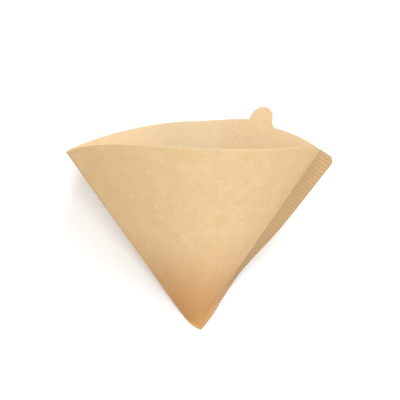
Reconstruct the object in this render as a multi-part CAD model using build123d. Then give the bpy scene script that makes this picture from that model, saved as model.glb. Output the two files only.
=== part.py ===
from build123d import *
import math
import os

# Paper cone filter, lying on its back wall: X across, Y from the tip to the mouth, Z up.
# It is drawn with the point where the creases would meet at zero, and moved at the end.

# Paper
slant = 115.0
paper = 0.25
wall_sweep = 90.0

# Opened form, by angles seen from above and by shares of the length from the tip
fold_angle = 37.8
seam_angle = 36.6
fold_lift_share = 1.11
seam_lift_share = 0.89
flat_from = -0.16
flat_to = 0.12
fold_foot_ease = 0.10
seam_foot_ease = 0.08
fold_side_run = 0.055
fold_side_drop = 0.89
seam_side_run = 0.083
seam_side_drop = 0.14
fold_arch_angle = 67.0
seam_arch_angle = 83.0

# Pressed and cut tip
tip_up_fold = 8.0
tip_up_seam = 2.4
tip_cut_start = 7.0
tip_cut_radius = 16.0

# Crimped seam
seam_width_rim = 9.0
seam_width_tip = 2.6
seam_root = 0.8
seam_set_in = 0.05
seam_droop_rim = 14.0
seam_droop_grip = 72.0
grip_height = 32.0
grip_spread = 29.0
crimp_pitch = 2.0
crimp_depth = 0.2
seam_corner = 3.5

# Pull tab, and the rim that swells towards it
tab_place = 0.305
tab_width = 14.0
tab_height = 10.3
tab_fillet = 3.0
swell_height = 2.4
swell_start_angle = 1.5
swell_full_angle = 10.0

# Working sizes
samples = 16
halvings = 24
rim_overlap = 0.4
cavity_start = 0.006
mouth = slant + tab_height + seam_width_rim

layers = 2 * paper
fold_reach = math.tan(math.radians(fold_angle))
seam_reach = math.tan(math.radians(seam_angle))
fold_arch = Vector(1, 0).rotate(Axis.Z, fold_arch_angle)
seam_arch = Vector(-1, 0).rotate(Axis.Z, -seam_arch_angle)


def blend(start, end, share):
    return start + (end - start) * share


def corners(share, rise, arch):
    """Eight control corners of the section as (across, up), from the fold round by the floor."""
    left = blend(-fold_reach * tip_up_fold, -fold_reach * mouth, share)
    right = blend(seam_reach * tip_up_seam, seam_reach * mouth, share)
    size = mouth * share
    fold_lift = rise * fold_lift_share
    seam_lift = rise * seam_lift_share

    def corner(tangent, height):
        across = (tangent + fold_reach) / (fold_reach + seam_reach)
        return blend(left, right, across), height * size

    return [
        corner(-fold_reach, fold_lift),
        corner(fold_side_run - fold_reach, fold_lift * (1 - fold_side_drop)),
        corner(flat_from - fold_foot_ease, 0.0),
        corner(flat_to + seam_foot_ease, 0.0),
        corner(seam_reach - seam_side_run, seam_lift * (1 - seam_side_drop)),
        corner(seam_reach, seam_lift),
        corner(seam_reach + seam_arch.X * arch, seam_lift + seam_arch.Y * arch),
        corner(fold_arch.X * arch - fold_reach, fold_lift + fold_arch.Y * arch),
    ]


def stand(share, point):
    """Puts a section point into space, on the upright plane through both creases at this share."""
    fold_y = blend(tip_up_fold, mouth, share)
    seam_y = blend(tip_up_seam, mouth, share)
    fold_x = -fold_reach * fold_y
    seam_x = seam_reach * seam_y
    y = blend(fold_y, seam_y, (point[0] - fold_x) / (seam_x - fold_x))
    return Vector(point[0], y, point[1])


def back_edges(points):
    """Fold side, flat spot on the floor, seam side."""
    fold, fold_side, fold_foot, seam_foot, seam_side, seam = points
    foot = fold_foot_ease + flat_to - flat_from + seam_foot_ease
    flat_start = blend(fold_foot, seam_foot, fold_foot_ease / foot)
    flat_end = blend(seam_foot, fold_foot, seam_foot_ease / foot)
    return [
        Edge.make_bezier(fold, fold_side, fold_foot, flat_start),
        Edge.make_line(flat_start, flat_end),
        Edge.make_bezier(flat_end, seam_foot, seam_side, seam),
    ]


def front_edge(points):
    fold, seam, seam_shoulder, fold_shoulder = points
    return Edge.make_bezier(seam, seam_shoulder, fold_shoulder, fold)


def swept(edges):
    """Angle at the tip that the paper under these mouth edges takes when it is pressed flat."""
    rays = [edge @ (i / samples) for edge in edges for i in range(samples + 1)]
    return sum(a.get_angle(b) for a, b in zip(rays, rays[1:]))


def settle(measure, low, high):
    """Finds the value at which a growing measure reaches the sweep of a wall."""
    for _ in range(halvings):
        middle = (low + high) / 2
        if measure(middle) < wall_sweep:
            low = middle
        else:
            high = middle
    return (low + high) / 2


def mouth_back(rise):
    return back_edges([stand(1.0, p) for p in corners(1.0, rise, 1.0)[:6]])


def mouth_front(arch):
    points = [stand(1.0, p) for p in corners(1.0, crease_rise, arch)]
    return [front_edge(points[:1] + points[5:])]


# The paper does not stretch, so both heights follow from the flat blank
crease_rise = settle(lambda rise: swept(mouth_back(rise)), 0.1, 1.0)
arch_reach = settle(lambda arch: swept(mouth_front(arch)), 0.2, 2.0)


def inset_corners(share):
    """The eight corners moved inward by one layer, measured square to the paper."""
    legs = []
    for size in (1.0, share):
        low = corners(size, crease_rise, arch_reach)
        high = [(x, z + layers) for x, z in low[5:] + low[:1]]
        legs.append(list(zip(low[:5], low[1:6])) + list(zip(high, high[1:])))
    lines = []
    for (a, b), (c, d) in zip(*legs):
        run = math.dist(a, b)
        offset = abs(a[0] * b[1] - a[1] * b[0]) / run
        shift = paper * math.hypot(1.0, offset / mouth)
        length = math.dist(c, d)
        along = ((d[0] - c[0]) / length, (d[1] - c[1]) / length)
        lines.append(((c[0] - along[1] * shift, c[1] + along[0] * shift), along))
    points = []
    for (p, u), (q, v) in zip(lines[-1:] + lines[:-1], lines):
        turn = u[0] * v[1] - u[1] * v[0]
        step = ((q[0] - p[0]) * v[1] - (q[1] - p[1]) * v[0]) / turn
        points.append((p[0] + u[0] * step, p[1] + u[1] * step))
    return points


def outer_edges(share):
    low = [stand(share, p) for p in corners(share, crease_rise, arch_reach)]
    high = [point + Vector(0, 0, layers) for point in low]
    return back_edges(low[:6]) + [
        Edge.make_line(low[5], high[5]),
        front_edge(high[:1] + high[5:]),
        Edge.make_line(high[0], low[0]),
    ]


def inner_edges(share):
    points = [stand(share, p) for p in inset_corners(share)]
    return back_edges(points[:6]) + [front_edge(points[:1] + points[5:])]


def ruled_solid(near, far):
    sides = [Face.make_surface_from_curves(a, b) for a, b in zip(near, far)]
    return Solid(Shell(sides + [Face(Wire(near)), Face(Wire(far))]))


outer = ruled_solid(outer_edges(0.0), outer_edges(1.0))
cavity = ruled_solid(inner_edges(cavity_start), inner_edges(1.0))

# The rim is one slant length from the tip all round
rim = Solid.make_sphere(slant)
walls = outer & rim

# The pull tab carries on the back wall past the rim, in the wall's own plane
tab_edge = mouth_back(crease_rise)[2]
tab_ray = (tab_edge @ tab_place).normalized()
tab_plane = Plane(origin=(0, 0, 0), x_dir=tab_ray, z_dir=tab_ray.cross(tab_edge % tab_place))
tab_round = tab_width / 2
tab_middle = slant + tab_height - tab_round
tongue = Pos(tab_middle / 2, 0) * Rectangle(tab_middle, tab_width)
tongue = tongue + Pos(tab_middle, 0) * Circle(tab_round)
tab_plan = Circle(slant - rim_overlap) + tongue
tab_plan = fillet(tab_plan.vertices().sort_by(Axis.X)[:2], tab_fillet)
near_tab = Pos(slant, 0) * Rectangle(4 * tab_height, tab_width + 3 * tab_fillet)
tab_tool = tab_plane * extrude(tab_plan & near_tab, tab_height, both=True)
walls = walls + (outer & tab_tool)

# Beside the tab the rim stands a little higher, seen from above between three lines from the tip
swell_angles = [swell_start_angle, swell_full_angle, math.degrees(math.atan2(tab_ray.X, tab_ray.Y))]
swell_radii = [slant - rim_overlap, slant + swell_height, slant + swell_height]
swell_outline = [Vector(0, r, 0).rotate(Axis.Z, -a) for r, a in zip(swell_radii, swell_angles)]
swell_outline.append(Vector(0, slant - tab_width, 0).rotate(Axis.Z, -swell_full_angle))
swell_tool = Solid.extrude(Face(Wire.make_polygon(swell_outline)), Vector(0, 0, slant))
walls = walls + (outer & (Pos(0, 0, -paper) * swell_tool))

# The crimped seam runs along its crease as a strip that hangs back where the filter is gripped
seam_start = stand(0.0, (seam_reach * tip_up_seam, paper)) + Vector(-seam_set_in, 0, seam_set_in / 5)
seam_far = stand(1.0, (seam_reach * mouth, seam_lift_share * crease_rise * mouth + paper))
seam_line = (seam_far - seam_start).normalized()
seam_out = Vector(seam_line.Y, -seam_line.X, 0).normalized()
seam_down = seam_line.cross(seam_out)
start_along = seam_start.dot(seam_line)
seam_length = math.sqrt(start_along ** 2 - seam_start.length ** 2 + slant ** 2) - start_along


def strip_section(along, side):
    share = along / seam_length
    bell = math.exp(-(((along - grip_height) / grip_spread) ** 2))
    ease = min(1.0, along / tip_cut_radius)
    droop = math.radians(blend(seam_droop_rim, seam_droop_grip, bell) * ease)
    out = seam_out * math.cos(droop) + seam_down * math.sin(droop)
    thick = out.cross(seam_line)
    past_corner = min(seam_corner, max(0.0, along - seam_length + seam_corner))
    width = blend(seam_width_tip, seam_width_rim, share)
    width = width - seam_corner + math.sqrt(seam_corner ** 2 - past_corner ** 2)
    half = thick * paper
    ridge = thick * (side * ease * crimp_depth / 2)
    line = seam_start + seam_line * along
    root = line - out * (seam_root / 2)
    knee = line + out * seam_root + ridge
    edge = line + out * width + ridge
    under = [point - half for point in (root, knee, edge)]
    over = [point + half for point in (edge, knee, root)]
    return Wire.make_polygon(under + over)


crimps = 2 * round(seam_length / crimp_pitch)
strip_sections = [strip_section(seam_length * i / crimps, (-1) ** i) for i in range(crimps + 1)]
strip = Solid.make_loft(strip_sections, ruled=True)

# The tip is pressed shut, two layers thick, and cut off on a curve from the fold to the seam
fold_tip = stand(0.0, (-fold_reach * tip_up_fold, 0.0))
seam_tip = stand(0.0, (seam_reach * tip_up_seam, 0.0))
strip_tip = seam_out * seam_width_tip
lap = blend(fold_tip, seam_tip, 0.5) + Vector(0, layers, 0)
tip_outline = Wire.make_polygon([Vector(), strip_tip, seam_tip + strip_tip, seam_tip, lap, fold_tip])
tip_plate = Solid.extrude(Face(tip_outline), Vector(0, 0, layers))
fold_line = Vector(-fold_reach, 1, 0).normalized()
cut_start = fold_line * tip_cut_start
cut_centre = cut_start + Vector(fold_line.Y, -fold_line.X, 0) * tip_cut_radius
cut_box = Box(slant, slant, slant, align=(Align.MAX, Align.MAX, Align.CENTER))
cut_curve = Pos(cut_centre.X, cut_centre.Y) * Cylinder(tip_cut_radius, slant)
cut_away = Pos(cut_centre.X, cut_start.Y) * cut_box - cut_curve

# The two layers stay together for a little way inside the seam
root_line = Plane(origin=seam_start, z_dir=seam_line)
cavity = cavity - Solid.make_cylinder(seam_root, 2 * slant, root_line)

filter_paper = walls + tip_plate - cavity + strip - cut_away

# The row's origin is on the floor, under the middle of the box around the filter
around = filter_paper.bounding_box()
filter_paper = Pos(-around.center().X, -around.center().Y, -around.min.Z) * filter_paper.solid()
filter_paper.label = "filter_paper"

os.makedirs("parts", exist_ok=True)
export_step(filter_paper, "parts/filter_paper.step")
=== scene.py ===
import math

import bmesh
import bpy
from mathutils import Matrix, Quaternion, Vector


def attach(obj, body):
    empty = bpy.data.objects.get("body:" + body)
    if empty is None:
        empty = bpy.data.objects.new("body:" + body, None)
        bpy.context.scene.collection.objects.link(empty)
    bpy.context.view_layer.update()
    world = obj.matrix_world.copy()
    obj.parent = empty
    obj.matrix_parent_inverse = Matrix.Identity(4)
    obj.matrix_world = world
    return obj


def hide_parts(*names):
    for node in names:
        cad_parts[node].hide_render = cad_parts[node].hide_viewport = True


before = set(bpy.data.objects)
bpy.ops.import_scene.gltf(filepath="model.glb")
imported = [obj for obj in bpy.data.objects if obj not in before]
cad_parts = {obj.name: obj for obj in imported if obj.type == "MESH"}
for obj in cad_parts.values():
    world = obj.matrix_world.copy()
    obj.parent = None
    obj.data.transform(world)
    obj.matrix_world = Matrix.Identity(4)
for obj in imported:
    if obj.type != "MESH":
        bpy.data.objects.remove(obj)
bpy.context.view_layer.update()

# Paper cone filter, lying on its back wall. Sizes are in millimetres, and the drawing's zero is the point
# where both creases would meet. ROW_ZERO is where the row's own zero lies in that drawing.
MM = 0.001
ROW_ZERO = Vector((2.47464, 59.6227, 0.0))

# Paper
SLANT = 115.0
PAPER = 0.25
LAYERS = 2 * PAPER
PRESSED_GAP = 0.01

# Opened form: distances across and up, as shares of the length from the tip
FOLD_REACH = math.tan(math.radians(37.8))
SEAM_REACH = math.tan(math.radians(36.6))
CREASE_RISE = 0.45886
FOLD_LIFT = 1.11 * CREASE_RISE
SEAM_LIFT = 0.89 * CREASE_RISE
ARCH_REACH = 1.17142
FOLD_ARCH_ANGLE = math.radians(67.0)
SEAM_ARCH_ANGLE = math.radians(83.0)
FLAT_FROM, FLAT_TO = -0.16, 0.12
FOLD_FOOT, SEAM_FOOT = -0.26, 0.20
FOLD_SIDE_RUN, FOLD_SIDE_KEEP = 0.055, 0.11
SEAM_SIDE_RUN, SEAM_SIDE_KEEP = 0.083, 0.86

# Fold: a narrow band between the two layers, rounded outwards
FOLD_STEPS = 4
FOLD_BULGE = 0.15

# Pressed and cut tip
TIP_UP_FOLD = 8.0
TIP_UP_SEAM = 2.4
CUT_START = 7.0
CUT_RADIUS = 16.0

# Crimped seam
SEAM_WIDTH_RIM, SEAM_WIDTH_TIP = 9.0, 2.6
SEAM_ROOT = 0.4
SEAM_SET_IN = 0.05
SEAM_DROOP_RIM, SEAM_DROOP_GRIP = 14.0, 72.0
GRIP_HEIGHT, GRIP_SPREAD = 32.0, 29.0
SEAM_CORNER = 3.5
CRIMP_PITCH, CRIMP_DEPTH = 2.0, 0.2
CRIMP_FROM, CRIMP_FULL = 0.08, 0.25

# Pull tab, and the rim that swells towards it between two angles seen from above
TAB_SLOPE = 0.31965
TAB_HALF = 7.0
TAB_HEIGHT = 10.3
TAB_FLARE = 5.0
SWELL_HEIGHT = 2.4
SWELL_START, SWELL_FULL = 1.5, 10.0
SWELL_STRAIGHT = 0.6

# Slack paper: waves that die out towards the floor and the creases
COCKLE_HEIGHT, COCKLE_SIZE, COCKLE_SEED = 0.5, 26.0, 7
SLACK_HEIGHT, SLACK_GAP = 20.0, 12.0

# How far the cone is drawn past the rim before it is cut
MOUTH = SLANT + TAB_HEIGHT + SEAM_WIDTH_RIM

# Mesh
RIM_SAMPLES = 400
COLUMN_STEP = 2.0
LEAST_COLUMNS = 4
WALL_ROWS, PLATE_ROWS = 64, 4
SEAM_ROWS, CORNER_ROWS, SEAM_PLATE_ROWS = 416, 20, 3
SEAM_COLUMNS = 9
TAB_STEPS = 10
WELD = 0.001
SHARP_ANGLE = math.radians(50)

# Photograph's camera: elevation in degrees, distance in slants, pixels per slant, apex in the picture
ELEVATION = 74.9
CAMERA_SLANTS = 7.0
PIXELS_PER_SLANT = 219.594
APEX_PIXEL = (194.853, 330.274)
PICTURE = 400
SENSOR = 36.0

# Stage, in metres and watts: lamps have a place, a width and a power
TABLE_HALF = 3.0
TABLE_PLAIN_FROM, TABLE_PLAIN_TO = 0.2, 0.45
ROOM_LEVEL = 0.6
LAMP_AIM = Vector((0.0, 0.0, 0.03))
LAMPS = {
    "lamp_over_the_front": ((0.2, -0.45, 0.95), 0.7, 6.0),
    "lamp_before_the_mouth": ((0.3, 0.65, 0.8), 0.7, 7.6),
}


def linear(code):
    """sRGB hex to linear RGBA."""
    parts = [int(code[i:i + 2], 16) / 255 for i in (1, 3, 5)]
    return [c / 12.92 if c <= 0.04045 else ((c + 0.055) / 1.055) ** 2.4 for c in parts] + [1.0]


def add(tree, kind, inputs=None, **settings):
    """Adds a node. inputs gives a socket, by name or number, a value, an output or a node's first output."""
    made = tree.nodes.new(kind)
    for name, value in settings.items():
        setattr(made, name, value)
    for name, value in (inputs or {}).items():
        if isinstance(value, bpy.types.Node):
            value = value.outputs[0]
        if isinstance(value, bpy.types.NodeSocket):
            tree.links.new(value, made.inputs[name])
        else:
            made.inputs[name].default_value = value
    return made


def bare_tree(owner):
    """The empty node tree of a material or a world."""
    owner.use_nodes = True
    for old in list(owner.node_tree.nodes):
        owner.node_tree.nodes.remove(old)
    return owner.node_tree


def row(point):
    """A point of the drawing in the row's frame, in metres."""
    return (Vector(point) - ROW_ZERO) * MM


# Sections of the cone, each a curve of four control corners given as (across, up)

SEAM_SIDE = [
    (SEAM_REACH, SEAM_LIFT),
    (SEAM_REACH - SEAM_SIDE_RUN, SEAM_LIFT * SEAM_SIDE_KEEP),
    (SEAM_FOOT, 0.0),
    (FLAT_TO, 0.0),
]
FLAT_SPOT = [
    (FLAT_TO, 0.0),
    ((2 * FLAT_TO + FLAT_FROM) / 3, 0.0),
    ((FLAT_TO + 2 * FLAT_FROM) / 3, 0.0),
    (FLAT_FROM, 0.0),
]
FOLD_SIDE = [
    (FLAT_FROM, 0.0),
    (FOLD_FOOT, 0.0),
    (FOLD_SIDE_RUN - FOLD_REACH, FOLD_LIFT * FOLD_SIDE_KEEP),
    (-FOLD_REACH, FOLD_LIFT),
]
FRONT = [
    (-FOLD_REACH, FOLD_LIFT),
    (
        ARCH_REACH * math.cos(FOLD_ARCH_ANGLE) - FOLD_REACH,
        FOLD_LIFT + ARCH_REACH * math.sin(FOLD_ARCH_ANGLE),
    ),
    (
        SEAM_REACH - ARCH_REACH * math.cos(SEAM_ARCH_ANGLE),
        SEAM_LIFT + ARCH_REACH * math.sin(SEAM_ARCH_ANGLE),
    ),
    (SEAM_REACH, SEAM_LIFT),
]


def corner(share, tangent, height):
    """A control corner in space, on the upright plane through both creases at this share."""
    fold_y = TIP_UP_FOLD + (MOUTH - TIP_UP_FOLD) * share
    seam_y = TIP_UP_SEAM + (MOUTH - TIP_UP_SEAM) * share
    across = (tangent + FOLD_REACH) / (FOLD_REACH + SEAM_REACH)
    fold_end = Vector((-FOLD_REACH * fold_y, fold_y, height * MOUTH * share))
    seam_end = Vector((SEAM_REACH * seam_y, seam_y, height * MOUTH * share))
    return fold_end.lerp(seam_end, across)


def curve_point(curve, share, t):
    """A point on a section, from the tip line at share 0 to the mouth at share 1."""
    a, b, c, d = [corner(share, *p) for p in curve]
    s = 1 - t
    return a * s ** 3 + b * (3 * s * s * t) + c * (3 * s * t * t) + d * t ** 3


def unrolled(curve):
    """Length along the rim from the curve's start, at even steps of its parameter."""
    rays = [curve_point(curve, 1.0, i / RIM_SAMPLES) for i in range(RIM_SAMPLES + 1)]
    run = [0.0]
    for a, b in zip(rays, rays[1:]):
        run.append(run[-1] + a.angle(b) * SLANT)
    return run


def at_run(run, wanted):
    """The curve's parameter at a length along the rim."""
    for i in range(1, len(run)):
        if run[i] >= wanted or i == len(run) - 1:
            part = (wanted - run[i - 1]) / (run[i] - run[i - 1])
            return min(1.0, max(0.0, (i - 1 + part) / (len(run) - 1)))


# The tab is round at the top, and its flanks flare into the rim on an arc that touches the round
tab_straight = TAB_HEIGHT - TAB_HALF
flare_run = math.sqrt((TAB_HALF + TAB_FLARE) ** 2 - (TAB_FLARE - tab_straight) ** 2)
flare_start = flare_run * TAB_HALF / (TAB_HALF + TAB_FLARE)


def tab_rise(gap):
    """How far the tab stands over the rim, at a distance along the rim from its middle."""
    gap = abs(gap)
    if gap <= flare_start:
        return tab_straight + math.sqrt(TAB_HALF ** 2 - gap ** 2)
    return TAB_FLARE - math.sqrt(TAB_FLARE ** 2 - max(0.0, flare_run - gap) ** 2)


def swell(curve, t):
    """How far the rim stands over the slant on the tab's near side: a straight rise with a soft top."""
    ray = curve_point(curve, 1.0, t)
    if ray.x / ray.y > TAB_SLOPE:
        return 0.0
    angle = math.degrees(math.atan2(ray.x, ray.y))
    share = max(0.0, (angle - SWELL_START) / (SWELL_FULL - SWELL_START))
    soft_run = 2 * (1 - SWELL_STRAIGHT)
    soft = min(1.0, max(0.0, (share - SWELL_STRAIGHT) / soft_run))
    return SWELL_HEIGHT * (min(share, SWELL_STRAIGHT) + soft_run * soft * (1 - soft / 2))


def at_radius(tip, mouth, radius):
    """The point on a ruling at a distance from the zero point."""
    way = mouth - tip
    b, c = tip.dot(way), tip.dot(tip) - radius ** 2
    return tip + way * ((math.sqrt(b * b - way.dot(way) * c) - b) / way.dot(way))


fold_line = Vector((-FOLD_REACH, 1.0, 0.0)).normalized()
cut_centre = fold_line * CUT_START + Vector((fold_line.y, -fold_line.x, 0.0)) * CUT_RADIUS


def at_cut(tip, way):
    """Where a level line on the pressed tip meets the curve that it is cut on."""
    way = Vector((way.x, way.y, 0.0)).normalized()
    off = Vector((tip.x, tip.y, 0.0)) - cut_centre
    b, c = off.dot(way), off.dot(off) - CUT_RADIUS ** 2
    return tip + way * (math.sqrt(max(0.0, b * b - c)) - b)


# Columns of the walls, from the seam round by the floor and the fold, back to the seam

def column(curve, t, lift, rise, gap, slack):
    """One line of paper from the cut edge over the tip line to the rim."""
    tip, mouth = curve_point(curve, 0.0, t), curve_point(curve, 1.0, t)
    up = Vector((0.0, 0.0, lift))
    return {
        "cut": at_cut(tip, -tip) + up,
        "tip": tip + up,
        "rim": at_radius(tip, mouth, SLANT + rise) + up,
        "gap": gap,
        "slack": slack,
    }


def rim_slope(t):
    """How far a line of the back wall leans to the seam, seen from above."""
    ray = curve_point(SEAM_SIDE, 1.0, t)
    return ray.x / ray.y


seam_run = unrolled(SEAM_SIDE)
tab_sample = min(range(RIM_SAMPLES + 1), key=lambda i: abs(rim_slope(i / RIM_SAMPLES) - TAB_SLOPE))
tab_run = seam_run[tab_sample]

# Even columns, but close ones round the tab
round_turn = math.asin(flare_start / TAB_HALF)
flare_turn = math.asin((flare_run - flare_start) / TAB_FLARE)
tab_stops = [TAB_HALF * math.sin(round_turn * i / TAB_STEPS) for i in range(TAB_STEPS + 1)]
flare_parts = [TAB_FLARE * math.sin(flare_turn * i / TAB_STEPS) for i in range(TAB_STEPS)]
tab_stops += [flare_run - part for part in reversed(flare_parts)]
seam_stops = [COLUMN_STEP * i for i in range(int(seam_run[-1] / COLUMN_STEP) + 1)]
seam_stops = [s for s in seam_stops if abs(s - tab_run) > tab_stops[-1] + COLUMN_STEP / 2]
seam_stops += [tab_run + side * s for s in tab_stops for side in (-1, 1) if s or side > 0]
seam_stops = [s for s in sorted(seam_stops) if s < seam_run[-1] - COLUMN_STEP / 2] + [seam_run[-1]]

columns = []
done = 0.0
back_run = sum(unrolled(curve)[-1] for curve in (SEAM_SIDE, FLAT_SPOT, FOLD_SIDE))
for curve in (SEAM_SIDE, FLAT_SPOT, FOLD_SIDE):
    run = unrolled(curve)
    count = max(LEAST_COLUMNS, round(run[-1] / COLUMN_STEP))
    stops = seam_stops if curve is SEAM_SIDE else [run[-1] * i / count for i in range(1, count + 1)]
    for stop in stops:
        t = at_run(run, stop)
        rise = swell(curve, t)
        if curve is SEAM_SIDE:
            rise = max(rise, tab_rise(stop - tab_run))
        gap = min(done + stop, back_run - done - stop)
        slack = min(1.0, curve_point(curve, 1.0, t).z / SLACK_HEIGHT)
        columns.append(column(curve, t, 0.0, rise, gap, slack))
    done += run[-1]

fold_out = Vector((-fold_line.y, fold_line.x, 0.0)) * FOLD_BULGE
for i in range(1, FOLD_STEPS):
    level = i / FOLD_STEPS
    band = column(FOLD_SIDE, 1.0, LAYERS * level, 0.0, 0.0, 0.0)
    for place in ("cut", "tip", "rim"):
        band[place] = band[place] + fold_out * math.sin(math.pi * level)
    columns.append(band)

front_run = unrolled(FRONT)
front_count = round(front_run[-1] / COLUMN_STEP)
for i in range(front_count + 1):
    stop = front_run[-1] * i / front_count
    gap = min(stop, front_run[-1] - stop)
    columns.append(column(FRONT, at_run(front_run, stop), LAYERS, 0.0, gap, min(1.0, gap / SLACK_GAP)))

# The seam's spine: points along the crease, with the way the strip points there and how wide it is
seam_tip = curve_point(SEAM_SIDE, 0.0, 0.0)
seam_start = seam_tip + Vector((-SEAM_SET_IN, 0.0, PAPER + SEAM_SET_IN / 5))
seam_line = (curve_point(SEAM_SIDE, 1.0, 0.0) + Vector((0.0, 0.0, PAPER)) - seam_start).normalized()
seam_out = Vector((seam_line.y, -seam_line.x, 0.0)).normalized()
start_along = seam_start.dot(seam_line)
seam_length = math.sqrt(start_along ** 2 - seam_start.length_squared + SLANT ** 2) - start_along

spine = []

# Below its start the strip lies flat, down to the cut
strip_edge = seam_start + seam_out * SEAM_WIDTH_TIP
cut_root, cut_edge = at_cut(seam_start, -seam_line), at_cut(strip_edge, -seam_line)
for i in range(SEAM_PLATE_ROWS, 0, -1):
    root = seam_start.lerp(cut_root, i / SEAM_PLATE_ROWS)
    across = strip_edge.lerp(cut_edge, i / SEAM_PLATE_ROWS) - root
    out, width = across.normalized(), across.length
    spine.append({"point": root, "out": out, "width": width, "along": 0.0, "ease": 0.0})

# Above it the strip widens, and hangs back most at the grip's height. Its round corner has rows at even turns
corner_start = seam_length - SEAM_CORNER
corner_turn = math.pi / 2 / CORNER_ROWS
strip_stops = [corner_start * i / (SEAM_ROWS - 1) for i in range(SEAM_ROWS)]
strip_stops += [corner_start + SEAM_CORNER * math.sin(corner_turn * i) for i in range(1, CORNER_ROWS + 1)]
for along in strip_stops:
    ease = min(1.0, along / CUT_RADIUS)
    bell = math.exp(-(((along - GRIP_HEIGHT) / GRIP_SPREAD) ** 2))
    droop = math.radians(SEAM_DROOP_RIM + (SEAM_DROOP_GRIP - SEAM_DROOP_RIM) * bell) * ease
    past = min(SEAM_CORNER, max(0.0, along - seam_length + SEAM_CORNER))
    width = SEAM_WIDTH_TIP + (SEAM_WIDTH_RIM - SEAM_WIDTH_TIP) * along / seam_length
    width = width - SEAM_CORNER + math.sqrt(SEAM_CORNER ** 2 - past ** 2)
    out = Quaternion(seam_line, droop) @ seam_out
    point = seam_start + seam_line * along
    spine.append({"point": point, "out": out, "width": width, "along": along, "ease": ease})


def guide(name, points, **values):
    """A mesh of bare points, with named values on them, that a tree reads its lines from."""
    mesh = bpy.data.meshes.new(name)
    mesh.from_pydata([row(p) for p in points], [], [])
    for key, numbers in values.items():
        is_vector = isinstance(numbers[0], Vector)
        layer = mesh.attributes.new(key, "FLOAT_VECTOR" if is_vector else "FLOAT", "POINT")
        for item, number in zip(layer.data, numbers):
            setattr(item, "vector" if is_vector else "value", number)
    made = bpy.data.objects.new(name, mesh)
    bpy.context.scene.collection.objects.link(made)
    return made


wall_lines = guide(
    "wall_lines",
    [c[place] for place in ("cut", "tip", "rim") for c in columns],
    gap=[c["gap"] * MM for c in columns] * 3,
    slack=[c["slack"] for c in columns] * 3,
)
seam_lines = guide(
    "seam_lines",
    [s["point"] for s in spine],
    out=[s["out"] for s in spine],
    width=[s["width"] * MM for s in spine],
    along=[s["along"] * MM for s in spine],
    ease=[s["ease"] for s in spine],
)

paper = bpy.data.materials.new("unbleached_pulp_filter_paper_pressed")


def tree_with(name, sizes):
    """A tree with a mesh in and out, and a named input for each size."""
    tree = bpy.data.node_groups.new(name, "GeometryNodeTree")
    tree.interface.new_socket("Geometry", in_out="OUTPUT", socket_type="NodeSocketGeometry")
    tree.interface.new_socket("Geometry", in_out="INPUT", socket_type="NodeSocketGeometry")
    for label, value in sizes.items():
        kind = "NodeSocketInt" if isinstance(value, int) else "NodeSocketFloat"
        tree.interface.new_socket(label, in_out="INPUT", socket_type=kind).default_value = value
    return tree, add(tree, "NodeGroupInput").outputs


def closed(tree, sheet, thickness):
    """Gives a sheet its thickness inwards, closes it and ends the tree."""
    back = add(tree, "ShaderNodeMath", {0: thickness, 1: -1.0}, operation="MULTIPLY")
    inner = add(tree, "GeometryNodeExtrudeMesh", {"Mesh": sheet, "Offset Scale": back, "Individual": False})
    # The inside is marked, which the paper paints paler as painted light, and on which its painted tip shade
    # is weaker
    inner = add(
        tree,
        "GeometryNodeStoreNamedAttribute",
        {"Geometry": inner, "Name": "inner", "Value": 1.0},
        data_type="FLOAT",
        domain="POINT",
    )
    inner = add(tree, "GeometryNodeFlipFaces", {"Mesh": inner})
    both = add(tree, "GeometryNodeJoinGeometry")
    for side in (inner, sheet):
        tree.links.new(side.outputs[0], both.inputs[0])
    whole = add(tree, "GeometryNodeMergeByDistance", {"Geometry": both, "Distance": WELD * MM})
    whole = add(tree, "GeometryNodeRealizeInstances", {"Geometry": whole})
    whole = add(tree, "GeometryNodeSetShadeSmooth", {"Geometry": whole, "Shade Smooth": True})
    whole = add(tree, "GeometryNodeSetMaterial", {"Geometry": whole, "Material": paper})
    add(tree, "NodeGroupOutput", {"Geometry": whole})


def finished(made, tree, sizes):
    """Runs a tree on its guide, removes the guide and returns the plain mesh."""
    modifier = made.modifiers.new("shape", "NODES")
    modifier.node_group = tree
    for item in tree.interface.items_tree:
        if item.item_type == "SOCKET" and item.in_out == "INPUT" and item.name in sizes:
            modifier[item.identifier] = sizes[item.name]
    bpy.context.view_layer.update()
    mesh = bpy.data.meshes.new_from_object(made.evaluated_get(bpy.context.evaluated_depsgraph_get()))
    made.modifiers.remove(modifier)
    bpy.data.objects.remove(made)
    return mesh


wall_sizes = {
    "Columns": len(columns),
    "Plate rows": PLATE_ROWS,
    "Wall rows": WALL_ROWS,
    "Thickness": (PAPER - PRESSED_GAP / 2) * MM,
    "Cockle height": COCKLE_HEIGHT * MM,
    "Cockle size": COCKLE_SIZE * MM,
    "Seed": COCKLE_SEED,
}


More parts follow.
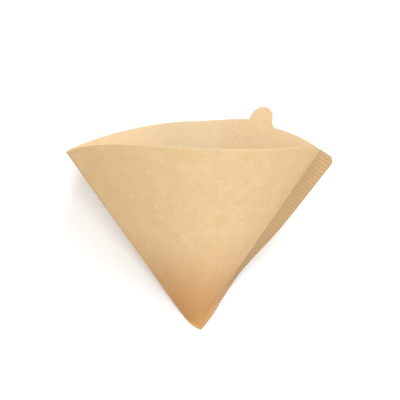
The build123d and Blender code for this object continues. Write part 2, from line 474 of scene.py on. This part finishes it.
def ruled_walls():
    """A grid whose columns lie on the guide's lines: first the pressed plate, then the open wall."""
    tree, size = tree_with("ruled_walls", wall_sizes)
    rows = add(tree, "ShaderNodeMath", {0: size["Plate rows"], 1: size["Wall rows"]}, operation="ADD")
    grid = add(
        tree,
        "GeometryNodeMeshGrid",
        {"Size X": 1.0, "Size Y": 1.0, "Vertices X": size["Columns"], "Vertices Y": rows},
    )

    # Number of the column, and how far up the plate and the wall each point is
    position = add(tree, "GeometryNodeInputPosition")
    place = add(tree, "ShaderNodeSeparateXYZ", {0: position}).outputs
    last_column = add(tree, "ShaderNodeMath", {0: size["Columns"], 1: 1.0}, operation="SUBTRACT")
    across = add(tree, "ShaderNodeMath", {0: place["X"], 1: 0.5}, operation="ADD")
    number = add(tree, "ShaderNodeMath", {0: across, 1: last_column}, operation="MULTIPLY")
    number = add(tree, "ShaderNodeMath", {0: number}, operation="ROUND")
    last_row = add(tree, "ShaderNodeMath", {0: rows, 1: 1.0}, operation="SUBTRACT")
    up = add(tree, "ShaderNodeMath", {0: place["Y"], 1: 0.5}, operation="ADD")
    step = add(tree, "ShaderNodeMath", {0: up, 1: last_row}, operation="MULTIPLY")
    plate_rows = size["Plate rows"]
    on_plate = add(tree, "ShaderNodeMath", {0: step, 1: plate_rows}, operation="DIVIDE", use_clamp=True)
    past_plate = add(tree, "ShaderNodeMath", {0: step, 1: plate_rows}, operation="SUBTRACT")
    wall_steps = add(tree, "ShaderNodeMath", {0: last_row, 1: plate_rows}, operation="SUBTRACT")
    on_wall = add(tree, "ShaderNodeMath", {0: past_plate, 1: wall_steps}, operation="DIVIDE", use_clamp=True)

    # The guide's three points of this column: on the cut, on the tip line and on the rim
    points = []
    for line in range(3):
        which = {0: size["Columns"], 1: float(line), 2: number}
        index = add(tree, "ShaderNodeMath", which, operation="MULTIPLY_ADD")
        read = {"Geometry": size["Geometry"], "Value": position, "Index": index}
        points.append(add(tree, "GeometryNodeSampleIndex", read, data_type="FLOAT_VECTOR", domain="POINT"))
    plate = {"Factor": on_plate, 4: points[0], 5: points[1]}
    low = add(tree, "ShaderNodeMix", plate, data_type="VECTOR").outputs[1]
    wall = {"Factor": on_wall, 4: low, 5: points[2]}
    spot = add(tree, "ShaderNodeMix", wall, data_type="VECTOR").outputs[1]

    # Height on the wall and distance from a crease, which the paper's painted shade reads, and slack, for the
    # waves: 0 on the plate
    kept = {"up_wall": on_wall}
    for label, source in (("crease_gap", "gap"), ("slack", "slack")):
        sampled = add(
            tree,
            "GeometryNodeSampleIndex",
            {
                "Geometry": size["Geometry"],
                "Value": add(tree, "GeometryNodeInputNamedAttribute", {"Name": source}, data_type="FLOAT"),
                "Index": number,
            },
            data_type="FLOAT",
            domain="POINT",
        )
        kept[label] = add(tree, "ShaderNodeMath", {0: sampled, 1: on_wall}, operation="MULTIPLY")
    sheet = grid
    for label, value in kept.items():
        sheet = add(
            tree,
            "GeometryNodeStoreNamedAttribute",
            {"Geometry": sheet, "Name": label, "Value": value},
            data_type="FLOAT",
            domain="POINT",
        )
    sheet = add(tree, "GeometryNodeSetPosition", {"Geometry": sheet, "Position": spot})

    # Opened paper is a little wavy between its creases
    wave = add(
        tree,
        "ShaderNodeTexNoise",
        {
            "Vector": position,
            "W": size["Seed"],
            "Scale": add(tree, "ShaderNodeMath", {0: 1.0, 1: size["Cockle size"]}, operation="DIVIDE"),
            "Detail": 1.0,
        },
        noise_dimensions="4D",
    )
    wave = add(tree, "ShaderNodeMath", {0: wave, 1: 0.5}, operation="SUBTRACT")
    wave = add(tree, "ShaderNodeMath", {0: wave, 1: size["Cockle height"]}, operation="MULTIPLY")
    slack = add(tree, "GeometryNodeInputNamedAttribute", {"Name": "slack"}, data_type="FLOAT")
    wave = add(tree, "ShaderNodeMath", {0: wave, 1: slack}, operation="MULTIPLY")
    normal = add(tree, "GeometryNodeInputNormal")
    push = add(tree, "ShaderNodeVectorMath", {0: normal, "Scale": wave}, operation="SCALE")
    sheet = add(tree, "GeometryNodeSetPosition", {"Geometry": sheet, "Offset": push})
    closed(tree, sheet, size["Thickness"])
    return tree


seam_sizes = {
    "Rows": len(spine),
    "Columns": SEAM_COLUMNS,
    "Root": SEAM_ROOT * MM,
    "Thickness": LAYERS * MM,
    "Crimp pitch": CRIMP_PITCH * MM,
    "Crimp depth": CRIMP_DEPTH * MM,
}


def crimped_seam():
    """A strip two layers thick along the spine, pressed into ridges."""
    tree, size = tree_with("crimped_seam", seam_sizes)
    grid = add(
        tree,
        "GeometryNodeMeshGrid",
        {"Size X": 1.0, "Size Y": 1.0, "Vertices X": size["Columns"], "Vertices Y": size["Rows"]},
    )
    position = add(tree, "GeometryNodeInputPosition")
    place = add(tree, "ShaderNodeSeparateXYZ", {0: position}).outputs
    across = add(tree, "ShaderNodeMath", {0: place["X"], 1: 0.5}, operation="ADD")
    up = add(tree, "ShaderNodeMath", {0: place["Y"], 1: 0.5}, operation="ADD")
    last_row = add(tree, "ShaderNodeMath", {0: size["Rows"], 1: 1.0}, operation="SUBTRACT")
    number = add(tree, "ShaderNodeMath", {0: up, 1: last_row}, operation="MULTIPLY")
    number = add(tree, "ShaderNodeMath", {0: number}, operation="ROUND")

    # The spine's point and values in this row
    values = {"point": (position, "FLOAT_VECTOR")}
    for label, kind in (("out", "FLOAT_VECTOR"), ("width", "FLOAT"), ("along", "FLOAT"), ("ease", "FLOAT")):
        values[label] = (add(tree, "GeometryNodeInputNamedAttribute", {"Name": label}, data_type=kind), kind)
    read = {}
    for label, (value, kind) in values.items():
        read[label] = add(
            tree,
            "GeometryNodeSampleIndex",
            {"Geometry": size["Geometry"], "Value": value, "Index": number},
            data_type=kind,
            domain="POINT",
        )
    whole = add(tree, "ShaderNodeMath", {0: read["width"], 1: size["Root"]}, operation="ADD")
    reach = add(tree, "ShaderNodeMath", {0: whole, 1: across}, operation="MULTIPLY")
    reach = add(tree, "ShaderNodeMath", {0: reach, 1: size["Root"]}, operation="SUBTRACT")
    way = add(tree, "ShaderNodeVectorMath", {0: read["out"], "Scale": reach}, operation="SCALE")
    spot = add(tree, "ShaderNodeVectorMath", {0: read["point"], 1: way}, operation="ADD")

    # Ridges across the strip, which fade out at the crease and at the tip
    turn = add(tree, "ShaderNodeMath", {0: read["along"], 1: size["Crimp pitch"]}, operation="DIVIDE")
    turn = add(tree, "ShaderNodeMath", {0: turn, 1: math.tau}, operation="MULTIPLY")
    ridge = add(tree, "ShaderNodeMath", {0: turn}, operation="SINE")
    half_depth = add(tree, "ShaderNodeMath", {0: size["Crimp depth"], 1: 0.5}, operation="MULTIPLY")
    edge = {"Value": across, "From Min": CRIMP_FROM, "From Max": CRIMP_FULL}
    for share in (half_depth, read["ease"], add(tree, "ShaderNodeMapRange", edge)):
        ridge = add(tree, "ShaderNodeMath", {0: ridge, 1: share}, operation="MULTIPLY")

    # The strip and its height are marked so that the paper can paint shade on it. The crimp mark shapes the
    # ridges.
    sheet = grid
    for label, value in {"crimp": ridge, "strip": 1.0, "up_wall": up}.items():
        sheet = add(
            tree,
            "GeometryNodeStoreNamedAttribute",
            {"Geometry": sheet, "Name": label, "Value": value},
            data_type="FLOAT",
            domain="POINT",
        )
    sheet = add(tree, "GeometryNodeSetPosition", {"Geometry": sheet, "Position": spot})
    crimp = add(tree, "GeometryNodeInputNamedAttribute", {"Name": "crimp"}, data_type="FLOAT")
    half = add(tree, "ShaderNodeMath", {0: size["Thickness"], 1: 0.5, 2: crimp}, operation="MULTIPLY_ADD")
    normal = add(tree, "GeometryNodeInputNormal")
    push = add(tree, "ShaderNodeVectorMath", {0: normal, "Scale": half}, operation="SCALE")
    sheet = add(tree, "GeometryNodeSetPosition", {"Geometry": sheet, "Offset": push})
    closed(tree, sheet, size["Thickness"])
    return tree


joined = bmesh.new()
joined.from_mesh(finished(wall_lines, ruled_walls(), wall_sizes))
joined.from_mesh(finished(seam_lines, crimped_seam(), seam_sizes))
sheet_mesh = bpy.data.meshes.new("filter_sheet")
joined.to_mesh(sheet_mesh)
joined.free()
sheet_mesh.materials.clear()
sheet_mesh.materials.append(paper)
sheet_mesh.set_sharp_from_angle(angle=SHARP_ANGLE)
filter_sheet = bpy.data.objects.new("filter_sheet", sheet_mesh)
bpy.context.scene.collection.objects.link(filter_sheet)


def finish_paper(tree):
    """Unbleached wood pulp, formed wet and pressed: warm brown and quite matt, cloudy where the fibres lie
    thick or thin, with pale threads and a few specks of bark. The inside is painted paler, as painted light.
    Along the creases it is deeper in colour, partly pressed layers and partly painted shade. Towards the tip
    it
    is deeper too: the pressed plate, and painted shade up the wall. The strip is painted greyer, as painted
    shade."""
    spots = add(tree, "ShaderNodeTexCoord").outputs["Object"]
    patterns = {}
    for label, size, detail, roughness, distortion in (
        ("cloud", 7.0, 3.0, 0.6, 0.0),
        ("thread", 3.2, 3.0, 0.5, 2.2),
        ("speck", 1.9, 1.0, 0.5, 1.4),
        ("crumple", 6.0, 2.0, 0.5, 1.2),
        ("grain", 0.6, 2.0, 0.5, 0.0),
    ):
        patterns[label] = add(
            tree,
            "ShaderNodeTexNoise",
            {
                "Vector": spots,
                "Scale": 1 / (size * MM),
                "Detail": detail,
                "Roughness": roughness,
                "Distortion": distortion,
            },
        )
    marks = {}
    for label in ("inner", "crease_gap", "up_wall", "strip"):
        marks[label] = add(tree, "ShaderNodeAttribute", attribute_name=label).outputs["Fac"]

    thick = add(tree, "ShaderNodeMapRange", {"Value": patterns["cloud"], "From Min": 0.35, "From Max": 0.68})
    pale = add(
        tree,
        "ShaderNodeMapRange",
        {"Value": patterns["thread"], "From Min": 0.5, "From Max": 0.74, "To Max": 0.4},
    )
    # Painted light: the whole inside is painted paler, standing in for the light that falls in through the
    # mouth
    painted_inside_light = add(tree, "ShaderNodeMath", {0: marks["inner"], 1: 0.52}, operation="MULTIPLY")
    bark = add(
        tree,
        "ShaderNodeMapRange",
        {"Value": patterns["speck"], "From Min": 0.66, "From Max": 0.8, "To Max": 0.3},
    )
    # Deeper colour along the creases: partly the pressed layers, partly painted shade in the crease
    crease = add(
        tree,
        "ShaderNodeMapRange",
        {
            "Value": marks["crease_gap"],
            "From Min": 0.3 * MM,
            "From Max": 2.4 * MM,
            "To Min": 0.28,
            "To Max": 0.0,
        },
        interpolation_type="SMOOTHSTEP",
    )
    # Painted shade: darker towards the tip, fully on the pressed plate and fading up the wall, weaker on the
    # inside
    low = add(
        tree,
        "ShaderNodeMapRange",
        {"Value": marks["up_wall"], "From Min": 0.02, "From Max": 0.55, "To Min": 0.84, "To Max": 0.0},
        interpolation_type="SMOOTHSTEP",
    )
    outer = add(tree, "ShaderNodeMapRange", {"Value": marks["inner"], "To Min": 1.0, "To Max": 0.35})
    low = add(tree, "ShaderNodeMath", {0: low, 1: outer}, operation="MULTIPLY")
    # The larger of the two: painted shade at the creases and the tip, over the real pressed paper
    pressed = add(tree, "ShaderNodeMath", {0: crease, 1: low}, operation="MAXIMUM")
    # Painted shade: the seam strip is painted greyer, more so higher up, for the shade that it lies in
    painted_strip_shade = add(
        tree,
        "ShaderNodeMapRange",
        {"Value": marks["up_wall"], "From Min": 0.08, "From Max": 0.35, "To Min": 0.1, "To Max": 0.8},
        interpolation_type="SMOOTHSTEP",
    )
    strip = add(tree, "ShaderNodeMath", {0: marks["strip"], 1: painted_strip_shade}, operation="MULTIPLY")

    tone = linear("#EDCC99")
    # Cloud, threads and bark are the paper's own tones. The paler inside is painted light, and the crease,
    # tip and strip colours are mostly painted shade.
    for share, colour in (
        (thick, "#F1D4A6"),
        (pale, "#F6E6C9"),
        (painted_inside_light, "#EEDCBC"),
        (bark, "#B88B58"),
        (pressed, "#D29A5C"),
        (strip, "#BFA27B"),
    ):
        mixed = add(tree, "ShaderNodeMix", {"Factor": share, 6: tone, 7: linear(colour)}, data_type="RGBA")
        tone = mixed.outputs[2]

    bump = add(tree, "ShaderNodeBump", {"Height": patterns["crumple"], "Strength": 0.5, "Distance": 0.5 * MM})
    bump = add(
        tree,
        "ShaderNodeBump",
        {"Height": patterns["grain"], "Strength": 0.3, "Distance": 0.1 * MM, "Normal": bump},
    )
    fibres = add(
        tree,
        "ShaderNodeBsdfPrincipled",
        {"Base Color": tone, "Roughness": 0.92, "IOR": 1.5, "Specular IOR Level": 0.2, "Normal": bump},
    )
    glow = add(tree, "ShaderNodeBsdfTranslucent", {"Color": tone})
    sheet = add(tree, "ShaderNodeMixShader", {0: 0.2, 1: fibres, 2: glow})
    add(tree, "ShaderNodeOutputMaterial", {"Surface": sheet})


finish_paper(bare_tree(paper))
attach(filter_sheet, "root")
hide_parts("filter_paper")


# Stage: a white table in a white room

def seen(tree):
    """1 for what the camera sees, straight, mirrored or through glass, and 0 for light on its way."""
    rays = add(tree, "ShaderNodeLightPath").outputs
    plain = {0: rays["Is Camera Ray"], 1: rays["Is Glossy Ray"]}
    either = add(tree, "ShaderNodeMath", plain, operation="MAXIMUM")
    return add(tree, "ShaderNodeMath", {0: either, 1: rays["Is Transmission Ray"]}, operation="MAXIMUM")


def finish_table(tree):
    """White lacquer, sprayed and quite matt: it takes a soft shadow, and is plain white further off."""
    shown = seen(tree)
    colours = {"Factor": shown, 6: linear("#C8C8C8"), 7: linear("#FFFFFF")}
    lacquer = add(tree, "ShaderNodeMix", colours, data_type="RGBA")
    matt = add(tree, "ShaderNodeBsdfDiffuse", {"Color": lacquer.outputs[2]})
    spots = add(tree, "ShaderNodeTexCoord").outputs["Object"]
    away = add(tree, "ShaderNodeVectorMath", {0: spots}, operation="LENGTH").outputs["Value"]
    far = add(
        tree,
        "ShaderNodeMapRange",
        {"Value": away, "From Min": TABLE_PLAIN_FROM, "From Max": TABLE_PLAIN_TO},
        interpolation_type="SMOOTHSTEP",
    )
    far = add(tree, "ShaderNodeMath", {0: far, 1: shown}, operation="MULTIPLY")
    plain = add(tree, "ShaderNodeEmission", {"Color": linear("#FFFFFF"), "Strength": 1.0})
    top = add(tree, "ShaderNodeMixShader", {0: far, 1: matt, 2: plain})
    add(tree, "ShaderNodeOutputMaterial", {"Surface": top})


def finish_room(tree):
    """An even white room, seen as white."""
    level = add(tree, "ShaderNodeMapRange", {"Value": seen(tree), "To Min": ROOM_LEVEL, "To Max": 1.0})
    sky = add(tree, "ShaderNodeBackground", {"Color": linear("#FFFFFF"), "Strength": level})
    add(tree, "ShaderNodeOutputWorld", {"Surface": sky})


white = bpy.data.materials.new("white_matt_lacquer_sprayed")
finish_table(bare_tree(white))
table_corners = [(TABLE_HALF * x, TABLE_HALF * y, 0.0) for x, y in ((-1, -1), (1, -1), (1, 1), (-1, 1))]
table_mesh = bpy.data.meshes.new("table_top")
table_mesh.from_pydata(table_corners, [], [(0, 1, 2, 3)])
table_mesh.materials.append(white)
floor = bpy.data.objects.new("table_top", table_mesh)
bpy.context.scene.collection.objects.link(floor)

scene = bpy.context.scene
scene.view_settings.view_transform = "Standard"
scene.world = bpy.data.worlds.new("white_room")
finish_room(bare_tree(scene.world))
for name, (place, width, power) in LAMPS.items():
    lamp = bpy.data.lights.new(name, "AREA")
    lamp.shape = "SQUARE"
    lamp.size = width
    lamp.energy = power
    broad = bpy.data.objects.new(name, lamp)
    broad.location = place
    broad.rotation_euler = (LAMP_AIM - broad.location).to_track_quat("-Z", "Y").to_euler()
    scene.collection.objects.link(broad)

# Camera: looks down on the front wall, past the tip, as in the photograph
tilt = math.radians(ELEVATION)
ahead = Vector((0.0, math.cos(tilt), -math.sin(tilt)))
upward = Vector((0.0, math.sin(tilt), math.cos(tilt)))
side = Vector((1.0, 0.0, 0.0))
middle = PICTURE / 2
lens = bpy.data.cameras.new("photo_camera")
lens.sensor_width = SENSOR
lens.lens = PIXELS_PER_SLANT * CAMERA_SLANTS * SENSOR / PICTURE
lens.clip_start, lens.clip_end = 0.01, 20.0
camera = bpy.data.objects.new("photo_camera", lens)
per_pixel = SLANT * MM / PIXELS_PER_SLANT
spot = row((0.0, 0.0, 0.0)) - side * ((APEX_PIXEL[0] - middle) * per_pixel)
spot = spot - upward * ((middle - APEX_PIXEL[1]) * per_pixel) - ahead * (CAMERA_SLANTS * SLANT * MM)
camera.matrix_world = Matrix.Translation(spot) @ Matrix((side, upward, -ahead)).transposed().to_4x4()
scene.collection.objects.link(camera)
scene.camera = camera
